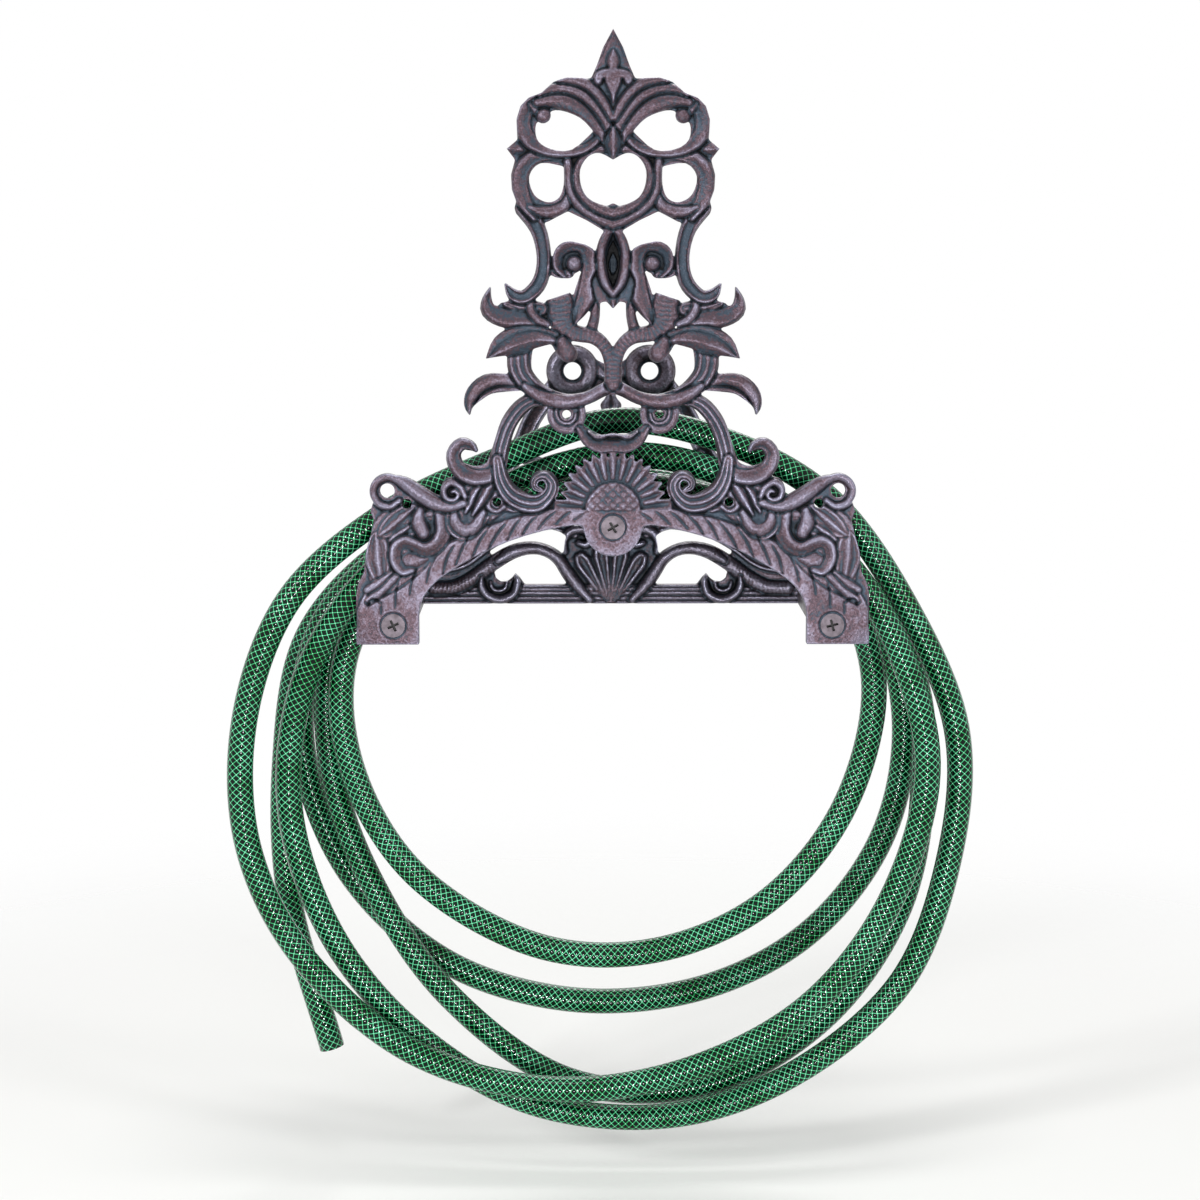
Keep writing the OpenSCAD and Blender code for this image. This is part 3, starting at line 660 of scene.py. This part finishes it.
belt = [
    # side branches, each with a thin second blade, and the eyelets
    ("round", 4.5, 8.6, [(52, 161, 8), (62, 163.5, 8.5), (72, 164, 9), (81, 160, 9),
                         (87, 152, 6.5), (88, 143, 1.5)]),
    ("round", 4.5, 7.8, [(50, 156.5, 5), (60, 157.5, 4.6), (70, 157.5, 4), (78, 154.5, 3.4),
                         (84, 148.5, 2)]),
    ("cup", 4.2, 6.8, [(28.5, 142.5, 15), (28.6, 142.5, 15)]),
    ("round", 4.5, 8.6, [(38.5, 153, 7), (38.5, 143, 6.5), (35, 135.5, 6.5), (28, 133, 6.5),
                         (21, 135.5, 6.5), (18.6, 142, 6), (19.5, 148, 4.5)]),
    ("round", 4.5, 7.4, [(34, 150, 2), (34.6, 143, 2.4), (32.5, 138.6, 2.4), (28, 137, 2.4),
                         (24, 139, 2.2), (22.8, 143, 1.8)]),
    ("reed", 4.5, 8.6, [(56, 188, 12), (58, 178, 14), (56.5, 168, 13.5), (50, 160, 12),
                        (41, 155, 10)]),
    ("round", 4.5, 9.2, [(54, 160, 5), (46, 154.5, 9), (36, 151, 9.5), (26, 150.5, 9),
                         (16, 152.8, 8.5), (7, 158, 8.5), (0, 161.5, 9)]),
]
ribbon = [
    ("round", 4.5, 7.4, [(12, 213, 5), (11.3, 203, 6), (13, 195, 6)]),
    ("ribbed", 4.5, 8.6, [(33, 216, 14), (32, 207, 17), (31, 197.5, 15), (24, 192, 11.5),
                          (13, 190, 9.5), (5.5, 184, 9), (1, 174, 10), (0, 162, 11)]),
]
sideLeaves = [
    ("reed", 4.5, 7.8, [(44, 207, 9), (56, 208, 9), (65, 210.5, 5)]),
    ("spoonRight", 4.5, 8.8, [(43, 198, 6), (56, 200, 11), (68, 201.5, 12), (75.8, 206.5, 10),
                              (77, 213, 6), (75, 220, 1)]),
    ("round", 4.5, 8.8, [(40, 197.5, 5), (46, 200.5, 6.5), (50, 206, 6.5), (50.8, 211.5, 4.5),
                         (52, 214, 2.5)]),
    ("slab", 4.5, 6.4, [(36, 190, 8), (48, 190, 14), (59, 188, 17), (69, 184, 13),
                        (77.5, 177, 1)]),
    ("ridge", 5.4, 9.4, [(34, 187.5, 4), (46, 188.5, 11), (57, 186, 13), (67, 182, 9),
                         (75.5, 177.6, 1)]),
    ("round", 4.5, 9.4, [(31, 187, 8), (28.6, 181.5, 12.5), (28.2, 180, 12.5)]),
]
volutes = [
    ("round", 4.5, 8.2, [(43, 232.5, 6), (36, 228.5, 7), (28, 227.5, 6)]),
    ("spoonRight", 4.5, 9.2, [(29, 226.5, 3), (34, 232, 6), (33.5, 241, 8), (26.5, 246, 9),
                              (18.5, 245.5, 10), (14, 239, 11), (13.3, 228, 12.5), (16, 215, 12.5),
                              (20.5, 205, 8.5), (23.3, 198, 1.5)]),
    ("round", 4.8, 9.4, [(23.6, 234.5, 9.5), (24, 234.5, 9.5)]),
]
spade = [
    ("slab", 4.2, 5.6, [(0, 221, 27), (0, 213, 19)]),
    ("ridge", 4.2, 6.6, [(0, 214, 7), (0, 207, 2)]),
    ("cup", 3.0, 4.0, [(0, 248, 3), (0, 242, 8), (0, 226, 8), (0, 220, 3)]),
    ("round", 4.5, 9.4, [(0, 257.5, 5), (4.5, 252, 7), (7.4, 243, 6.5), (7.3, 232, 6.5),
                         (4.8, 222.5, 6), (0, 215.5, 4)]),
]
crown = [
    # stems, and the outer rings beside the heart
    ("channel", 4.5, 8.8, [(54, 268, 11), (46, 256, 10.5), (42.7, 243, 9.5), (42.7, 231, 9.5),
                           (46, 221.5, 10), (54, 214.5, 9), (61, 216, 8), (66, 222.5, 1)]),
    ("spoon", 4.5, 8.8, [(27, 298.5, 5), (38, 300, 7), (48, 298.5, 9.5), (55.3, 291.5, 11),
                         (57, 282, 11), (54.5, 272, 10.5), (48, 262.5, 6)]),
    ("round", 4.5, 8.6, [(51, 268.5, 3), (44, 265.8, 7), (36, 266, 8), (29.5, 269.5, 7),
                         (26, 276, 5)]),
    ("round", 4.5, 8.6, [(28, 299, 5), (27, 290, 5.8), (26.3, 280, 5.8), (22.6, 271.8, 6.4),
                         (13.8, 264.9, 7), (5, 259.9, 7), (0, 257.9, 7)]),
    ("round", 4.5, 8.6, [(3, 303.5, 4), (10, 302.8, 5.4), (17.8, 298, 5.6), (22.2, 289, 5.6),
                         (21.2, 279.5, 5.6), (15.2, 271.3, 6.2), (7, 266.6, 7), (0, 264.6, 7)]),
    ("ridge", 4.5, 7.6, [(56, 303.5, 7), (60, 303.5, 8), (64.5, 303.5, 2)]),
    # rings round the upper holes, each with a ball on a short curl
    ("spoon", 4.5, 9.0, [(43, 335, 8), (51.5, 329.5, 10.5), (55, 319.5, 11), (51.5, 309, 10),
                         (43, 303, 8), (31, 301, 7), (20, 302.3, 6.5), (12.5, 306.3, 6),
                         (7.5, 311.5, 4)]),
    ("round", 4.5, 8.4, [(50, 330, 3), (47.5, 327, 5), (44.5, 324.5, 6)]),
    ("round", 4.5, 9.0, [(42, 323.2, 9.8), (41.8, 323, 9.8)]),
    # sunk field of the finial with its bud, and the lily over the brows
    ("slab", 4.5, 6.2, [(0, 372, 1.5), (0, 364, 9), (0, 356, 15), (0, 346, 25), (0, 332, 25)]),
    ("round", 4.5, 8.6, [(0, 363, 1), (0, 358, 7), (0, 354, 8), (0, 348.5, 1.5)]),
    # three rounded ridges to each brow, the beak that closes them, and the lily
    ("round", 4.8, 9.0, [(46, 331, 6), (40, 332.6, 9), (33, 332.4, 10.5), (26, 330.2, 11),
                         (19.5, 326.2, 10.4), (13.5, 320.8, 9.6), (7, 313.8, 9), (2.2, 307, 8)]),
    ("round", 4.8, 9.0, [(45, 335.5, 3), (40, 338, 5.5), (34, 339.4, 6.6), (27, 339, 7),
                         (18.8, 335.6, 7.2), (12.7, 330.6, 7.2), (7.5, 324, 7), (3.4, 317, 6.5),
                         (0.4, 310.5, 5)]),
    ("round", 4.8, 8.8, [(33, 344, 3), (28, 344.6, 6), (21, 343.6, 7), (14.5, 340.6, 7),
                         (9.2, 335.6, 7), (5, 329.6, 6.6), (1, 322, 5)]),
    ("ridge", 4.8, 9.6, [(0, 316, 3), (0, 309.5, 11), (0, 304.5, 10), (0, 299.5, 3.5),
                         (0, 297.5, 1)]),
    ("slab", 4.8, 8.8, [(0, 348.4, 5), (4.2, 348.6, 6), (8.2, 347, 6.4), (9.2, 344, 5.6)]),
    ("+slab", 4.8, 8.8, [(0, 351, 3), (0, 347, 11), (0, 342, 9), (0, 337, 5), (0, 330, 1)]),
]
hornedCup = [
    ("spoonRight", 4.5, 8.6, [(0, 122, 9), (8, 122.6, 10), (15, 126.5, 10), (20.4, 133.7, 5.5)]),
    ("round", 4.5, 8.8, [(0, 130.8, 5), (3.5, 131, 5), (7.5, 129, 4.2), (11, 129, 3),
                         (15, 132, 1.6)]),
]
frontStrokes = (archBand + shoulders + lowerStems + belt + ribbon + sideLeaves + volutes + spade
                + crown + hornedCup)
frontGashes = [
    # veins of the band, slanting outwards, and down over the feet
    (1.3, [(16, 83, 1), (20, 80, 1.9), (24, 77.5, 1)]),
    (1.4, [(26, 83, 1), (31, 79, 1.9), (35, 75, 1)]),
    (1.5, [(35, 83, 1), (41, 78, 1.9), (46, 72, 1)]),
    (1.6, [(46, 81, 1), (52, 74.5, 1.9), (56, 68, 1)]),
    (1.6, [(56, 80, 1), (61, 73, 1.9), (65, 65, 1)]),
    (1.7, [(65, 77, 1), (72, 68, 1.9), (78, 57, 1)]),
    (1.7, [(76, 74, 1), (82, 65, 1.9), (87, 54, 1)]),
    (1.7, [(88, 69, 1), (93, 60, 1.9), (97, 50, 1)]),
    (1.7, [(98, 62, 1), (102.5, 54, 1.9), (105, 44, 1)]),
    (1.7, [(110, 54, 1), (113.5, 47, 1.9), (115, 39, 1)]),
    (1.7, [(121, 47, 1), (124.5, 39, 1.9), (125.5, 31, 1)]),
    (1.7, [(133, 38, 1), (134.5, 31, 1.9), (134.5, 23, 1)]),
    (1.5, [(143, 27, 1), (143.5, 22, 1.9), (143, 17, 1)]),
    # the hook where the folds end
    (2.2, [(151.5, 24.5, 2), (150, 27.5, 2.4), (146.5, 28, 2.2), (144, 26, 1.4)]),
]
# shell fan over the hub: rays round a half ball that is scored with a lattice
shellFan = {
    "centre": 83.5, "ballRadius": 18.0, "petals": 15, "reach": 36.5,
    "petalFoot": 4.9, "petalRise": 1.4, "ribRise": 0.7, "ribSwell": 1.5,
    "domeFoot": 6.6, "domeRise": 2.6,
    "scoreTurn": 0.48, "scoreWidth": 0.3, "scoreDepth": 1.1,
    "moat": 1.0, "moatHeight": 5.2,
}


def frontHeights(places):
    height = carve(places, frontGround, frontStrokes, frontGashes)
    fan = shellFan
    x, z = places[:, 0], places[:, 1] - fan["centre"]
    radius, angle = np.hypot(x, z), np.arctan2(z, x)
    ray = 0.5 + 0.5 * np.cos(angle * 2 * (fan["petals"] - 1))
    on = (z > 0) & (radius < fan["reach"]) & (radius > fan["ballRadius"])
    lift = np.clip((radius - fan["ballRadius"]) / (fan["reach"] - fan["ballRadius"]), 0, 1)
    rib = (fan["ribRise"] + fan["ribSwell"] * np.sin(lift * math.pi) ** 0.5) * ray
    height[on] = (fan["petalFoot"] + fan["petalRise"] * lift + rib)[on]
    ball = (z > 0) & (radius < fan["ballRadius"])
    crossing = [np.abs(np.sin(line * fan["scoreTurn"])) for line in (x + z, x - z)]
    scores = np.exp(-(np.minimum(*crossing) / fan["scoreWidth"]) ** 2)
    bulge = np.sqrt(np.clip(1 - (radius / fan["ballRadius"]) ** 2, 0, 1))
    dome = fan["domeFoot"] + fan["domeRise"] * bulge
    height[ball] = (dome - fan["scoreDepth"] * scores)[ball]
    moat = (z > 0) & (np.abs(radius - fan["ballRadius"]) < fan["moat"])
    height[moat] = np.minimum(height[moat], fan["moatHeight"])
    return height


plate = castPlate("frontPlateCasting", "front_plate", frontPlate, frontHeights)
plate.data.materials.clear()
plate.data.materials.append(antiqueBronze("antiqueBronzeFront", bronze))

wallPlate = {
    "weld": 1e-5, "voxel": 0.0008, "back": 0.0,  # in metres, and the rest in millimetres
    "thickness": 7.0, "foot": -50.0, "ledge": 4.6, "smoothing": 2,
    "screws": [(136, 12), (0, 60)], "flushRadius": 9.8, "flushFade": 2.0,
    "gapRadius": 7.9, "gapWidth": 0.9, "gapDepth": 1.4,
    "fineRounds": 6, "fineGain": 0.55, "broadRounds": 60, "broadGain": 0.16,
    "shadedSide": 2.0, "sideFade": 1.6,
    "topShade": 0.0, "topShadeFrom": 110, "topShadeFade": 60,
    "backFace": 0.4, "backWear": 0.5,
    "triangles": 120000,
}
wallGround = 4.6
eyeX, eyeZ, eyeRadius, eyeWidth = 25, 152, 11.6, 9.6
eyeRing = [(eyeX + eyeRadius * math.sin(a), eyeZ + eyeRadius * math.cos(a), eyeWidth)
           for a in np.linspace(0, 2 * math.pi, 13)]
wallLimbs = [
    # upper limbs, scrolls and braces, mostly behind the hose
    ("channel", 4, 7.2, [(28, 148, 15), (39, 138, 13), (51, 121, 12), (60, 101, 12), (74, 82, 12),
                         (96, 63, 13), (122, 48, 12), (140, 30, 12), (143, 12, 10)]),
    ("round", 4, 7, [(4, 98, 9), (20, 98, 9), (33, 88, 10), (32, 70, 10), (20, 60, 10),
                     (6, 58, 12)]),
    ("round", 4, 6.8, [(34, 85, 8), (48, 92, 8), (58, 97, 8)]),
    ("round", 4, 6.8, [(52, 53, 8), (60, 64, 8), (72, 79, 8)]),
    ("round", 4, 6.8, [(120, 26, 8), (122, 36, 8), (124, 46, 8)]),
    ("slab", 4, 7, [(95, 50, 22), (95.5, 50, 22)]),
    # spindle and eyes
    ("twin", 4, 7.2, [(0, 44, 16), (0, 74, 12), (0, 92, 12), (0, 110, 9), (0, 124, 9),
                      (0, 130, 13), (0, 136, 6), (0, 150, 8)]),
    ("slab", 4, 5.4, [(25, 152, 34), (25.1, 152, 34)]),
    ("round", 4, 7.0, [(2, 148, 5), (8, 151, 7), (13, 157, 7), (19, 163, 6)]),
    ("round", 4, 8.2, eyeRing),
    # rail with its mouldings
    ("slab", 4.4, 7.2, [(0, 6, 13), (146, 6, 13)]),
]
railLines = [(2.0, [(0, z, 0.9), (146, z, 0.9)]) for z in (2.6, 5.6, 8.6, 11.0)]
wallArches = [
    # arches over the half moons: smooth near the shell, roped farther out
    ("slab", 4, 5.2, [(84, 32, 14), (100, 22, 14), (126, 18, 14)]),
    ("channel", 4, 7.4, [(24, 47, 8), (38, 53, 9), (54, 50.5, 9), (68, 46, 9), (82, 38, 9),
                         (96, 28, 9), (110, 24.5, 9), (126, 26, 9), (140, 20, 10)]),
    ("rope", 4, 8.2, [(66, 33.5, 9.4), (77, 26.5, 9.8), (90, 17, 9.8), (102, 11, 9.6),
                      (116, 10, 9.6)]),
    ("round", 4, 8.2, [(14, 3, 6), (22, 11.5, 8.2), (28.5, 20.5, 8.4), (34, 29, 8),
                       (42, 34.5, 7.6), (52, 36.5, 8), (64, 34, 9), (74, 28.5, 6)]),
    # hook on the rail, with the crescents inside it
    ("slab", 3.6, 3.8, [(73, 10, 19), (73.1, 10, 19)]),
    ("round", 3.8, 6.6, [(68, 14, 1.2), (69.5, 9.8, 2.2), (73.5, 8.4, 2.6), (77.5, 10, 2.2),
                         (79, 14.5, 1.2)]),
    ("round", 4, 8.4, [(62.2, 19.6, 2), (61.2, 13, 5.2), (64.2, 5.8, 6), (72.8, 2.6, 6.2),
                       (81.2, 5.8, 6), (84.8, 11.5, 5.4), (84.6, 18, 3)]),
    # volutes beside the shell
    ("round", 4, 8.2, [(30, 34, 4), (31, 42, 6), (26, 48, 7), (18, 49, 7), (13, 44, 6),
                       (16, 39, 5), (21, 40, 4)]),
]
# fluted shell that opens upwards from the middle of the rail: each flute has a raised rim that
# closes in an arch at the top
wallShell = {
    "centre": -3, "fluteAngle": 0.36, "spread": 0.72, "reach": 42, "bottom": 3, "archDepth": 7,
    "fluteWidth": 0.34, "rimPlace": 0.8, "rimWidth": 0.09, "gapPlace": 1.25, "gapWidth": 0.06,
    "foot": 5.2, "footSwell": 0.8, "rimRise": 1.7, "gapDepth": 1.2, "fullFrom": 24,
}


def wallHeights(places):
    # the arches lie over the rail and its lines
    height = carve(places, wallGround, wallLimbs, railLines)
    height = carve(places, height, wallArches, [])
    shell = wallShell
    x, z = places[:, 0], places[:, 1] - shell["centre"]
    radius, angle = np.hypot(x, z), np.arctan2(x, z)
    flute = np.abs(angle / shell["fluteAngle"] % 1 - 0.5)
    fromTop = np.clip((shell["reach"] - radius) / shell["archDepth"], 0, 1)
    narrow = shell["fluteWidth"] * np.sqrt(fromTop.clip(0.01))
    rim = np.exp(-((flute - narrow * shell["rimPlace"]) / shell["rimWidth"]) ** 2)
    gap = np.clip((flute - narrow * shell["gapPlace"]) / shell["gapWidth"], 0, 1)
    swell = np.clip(radius / shell["fullFrom"], 0, 1)
    raised = shell["foot"] + shell["footSwell"] * swell
    raised += shell["rimRise"] * swell * rim - shell["gapDepth"] * swell * gap
    on = (np.abs(angle) < shell["spread"]) & (radius < shell["reach"]) & (z > shell["bottom"])
    height[on] = raised[on]
    return height


plate = castPlate("wallPlateCasting", "wall_plate", wallPlate, wallHeights)
plate.data.materials.clear()
plate.data.materials.append(antiqueBronze("antiqueBronzeWall", darkBronze))

saddleFinish = {"cloudSize": 0.018, "gritSize": 0.0009, "gritStrength": 0.4, "gritRise": 0.0003}


def blackenedIron(name, settings):
    # cast iron under the same dark patina, unrubbed because the hose lies on it
    material, tree = newMaterial(name)
    place = objectPlace(tree)
    cloud = noise(tree, place, saddleFinish["cloudSize"], 4.0)
    grit = noise(tree, place, saddleFinish["gritSize"], 3.0)
    colour = colourMix(tree, rampValue(tree, cloud, 0.35, 0.65), linearColour(settings["slate"]),
                       linearColour(settings["mauve"]))
    rough = rampValue(tree, cloud, 0.3, 0.7, settings["roughHigh"], settings["roughHollow"])
    shader = addNode(tree, "ShaderNodeBsdfPrincipled", {
        "Base Color": colour, "Metallic": settings["metallic"], "Roughness": rough,
        "Normal": bumpNormal(tree, grit, saddleFinish["gritStrength"], saddleFinish["gritRise"]),
    })
    finishMaterial(tree, shader.outputs[0])
    return material


def repaint(node, material):
    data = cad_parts[node].data
    data.materials.clear()
    data.materials.append(material)


repaint("saddle", blackenedIron("blackenedIronSaddle", darkBronze))

screwFinish = {
    "cloudSize": 0.004, "dark": "#453d43", "light": "#675e66", "recess": "#0c0b0c",
    "recessFrom": 0.0003, "recessTo": 0.0009,  # below the face of the head
    "metallic": 0.5, "roughness": 0.45, "bumpStrength": 0.15, "bumpRise": 0.0002,
}


def antiquedSteel(name, face, side, settings):
    # turned steel screw, antiqued to match the plates: satin, with darker blotches, and the
    # cross recess painted black as shade; face is the Y of the head's face, side which way the
    # head sinks
    material, tree = newMaterial(name)
    place = objectPlace(tree)
    depth = addNode(tree, "ShaderNodeSeparateXYZ", {0: place}).outputs["Y"]
    cloud = noise(tree, place, settings["cloudSize"], 3.0)
    colour = colourMix(tree, rampValue(tree, cloud, 0.35, 0.7), linearColour(settings["dark"]),
                       linearColour(settings["light"]))
    # painted shade: black below the face of the head, in the cross recess
    sunkShade = rampValue(tree, depth, face + settings["recessFrom"] * side,
                     face + settings["recessTo"] * side)
    shader = addNode(tree, "ShaderNodeBsdfPrincipled", {
        "Base Color": colourMix(tree, sunkShade, colour, linearColour(settings["recess"])),
        "Metallic": settings["metallic"], "Roughness": settings["roughness"],
        "Normal": bumpNormal(tree, cloud, settings["bumpStrength"], settings["bumpRise"]),
    })
    finishMaterial(tree, shader.outputs[0])
    return material


frontFace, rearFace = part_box("front_screws")[0].y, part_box("rear_screws")[1].y
repaint("front_screws", antiquedSteel("antiquedSteelFront", frontFace, 1, screwFinish))
repaint("rear_screws", antiquedSteel("antiquedSteelRear", rearFace, -1, screwFinish))
print("screws and saddle finished")


# Stage: a pale floor under the hose that fades into the white studio, and soft lamps
stage = {
    "floorZ": -0.42, "floorSize": 8.0, "floorColour": "#f4f4f2", "world": 0.38,
    "fadeStart": 0.35, "fadeEnd": 1.1,  # how far out the floor begins to clear, and is gone
    "floorRoughness": 0.8,
    "lampAim": (0, -0.05, -0.05),
}
lamps = [
    # where, width, height, watts
    ((-1.5, -1.7, 0.8), 0.36, 0.36, 23.0),
    ((1.5, -1.7, 0.6), 0.36, 0.36, 12.0),
    ((0.0, -1.65, -0.3), 0.13, 0.13, 11.5),
    ((0.1, -0.5, 1.6), 0.9, 0.4, 8.0),
    ((0.2, 1.9, 1.7), 1.4, 1.4, 28.0),
]


def makeStage(settings):
    floorMesh = bpy.data.meshes.new("floor")
    work = bmesh.new()
    bmesh.ops.create_grid(work, x_segments=1, y_segments=1, size=settings["floorSize"] / 2)
    bmesh.ops.translate(work, verts=work.verts, vec=(0, 0, settings["floorZ"]))
    work.to_mesh(floorMesh)
    work.free()
    floor = newObject("floor", floorMesh)
    material, tree = newMaterial("paleFloor")
    place = objectPlace(tree)
    flat = addNode(tree, "ShaderNodeVectorMath", {0: place, 1: (1, 1, 0)}, operation="MULTIPLY")
    away = addNode(tree, "ShaderNodeVectorMath", {0: flat.outputs[0]}, operation="LENGTH")
    fade = addNode(tree, "ShaderNodeMapRange", {
        "Value": away.outputs["Value"],
        "From Min": settings["fadeStart"], "From Max": settings["fadeEnd"],
    }, interpolation_type="SMOOTHSTEP").outputs["Result"]
    pale = addNode(tree, "ShaderNodeBsdfPrincipled", {
        "Base Color": linearColour(settings["floorColour"]),
        "Roughness": settings["floorRoughness"],
    })
    clear = addNode(tree, "ShaderNodeBsdfTransparent")
    both = addNode(tree, "ShaderNodeMixShader",
                   {0: fade, 1: pale.outputs[0], 2: clear.outputs[0]})
    finishMaterial(tree, both.outputs[0])
    floor.data.materials.append(material)

    # what the camera, mirrors and glass see of the studio is plain white
    world = bpy.data.worlds.new("studio")
    scene.world = world
    world.use_nodes = True
    tree = world.node_tree
    tree.nodes.clear()
    path = addNode(tree, "ShaderNodeLightPath")
    plain = (1, 1, 1, 1)
    dim = addNode(tree, "ShaderNodeBackground", {"Color": plain, "Strength": settings["world"]})
    white = addNode(tree, "ShaderNodeBackground", {"Color": plain, "Strength": 1.0})
    seen = valueMath(tree, "MAXIMUM", path.outputs["Is Glossy Ray"],
                     path.outputs["Is Transmission Ray"])
    seen = valueMath(tree, "MAXIMUM", path.outputs["Is Camera Ray"], seen)
    mixed = addNode(tree, "ShaderNodeMixShader",
                    {0: seen, 1: dim.outputs[0], 2: white.outputs[0]})
    addNode(tree, "ShaderNodeOutputWorld", {"Surface": mixed.outputs[0]})

    aim = Vector(settings["lampAim"])
    for i, (place, width, height, watts) in enumerate(lamps):
        data = bpy.data.lights.new(f"softLamp{i}", "AREA")
        data.shape = "RECTANGLE"
        data.size, data.size_y = width, height
        data.energy = watts
        lamp = bpy.data.objects.new(f"softLamp{i}", data)
        scene.collection.objects.link(lamp)
        lamp.location = place
        lamp.visible_camera = False
        lamp.rotation_euler = (Vector(place) - aim).to_track_quat("Z", "Y").to_euler()


makeStage(stage)
scene.view_settings.view_transform = "Standard"
print("stage lit")
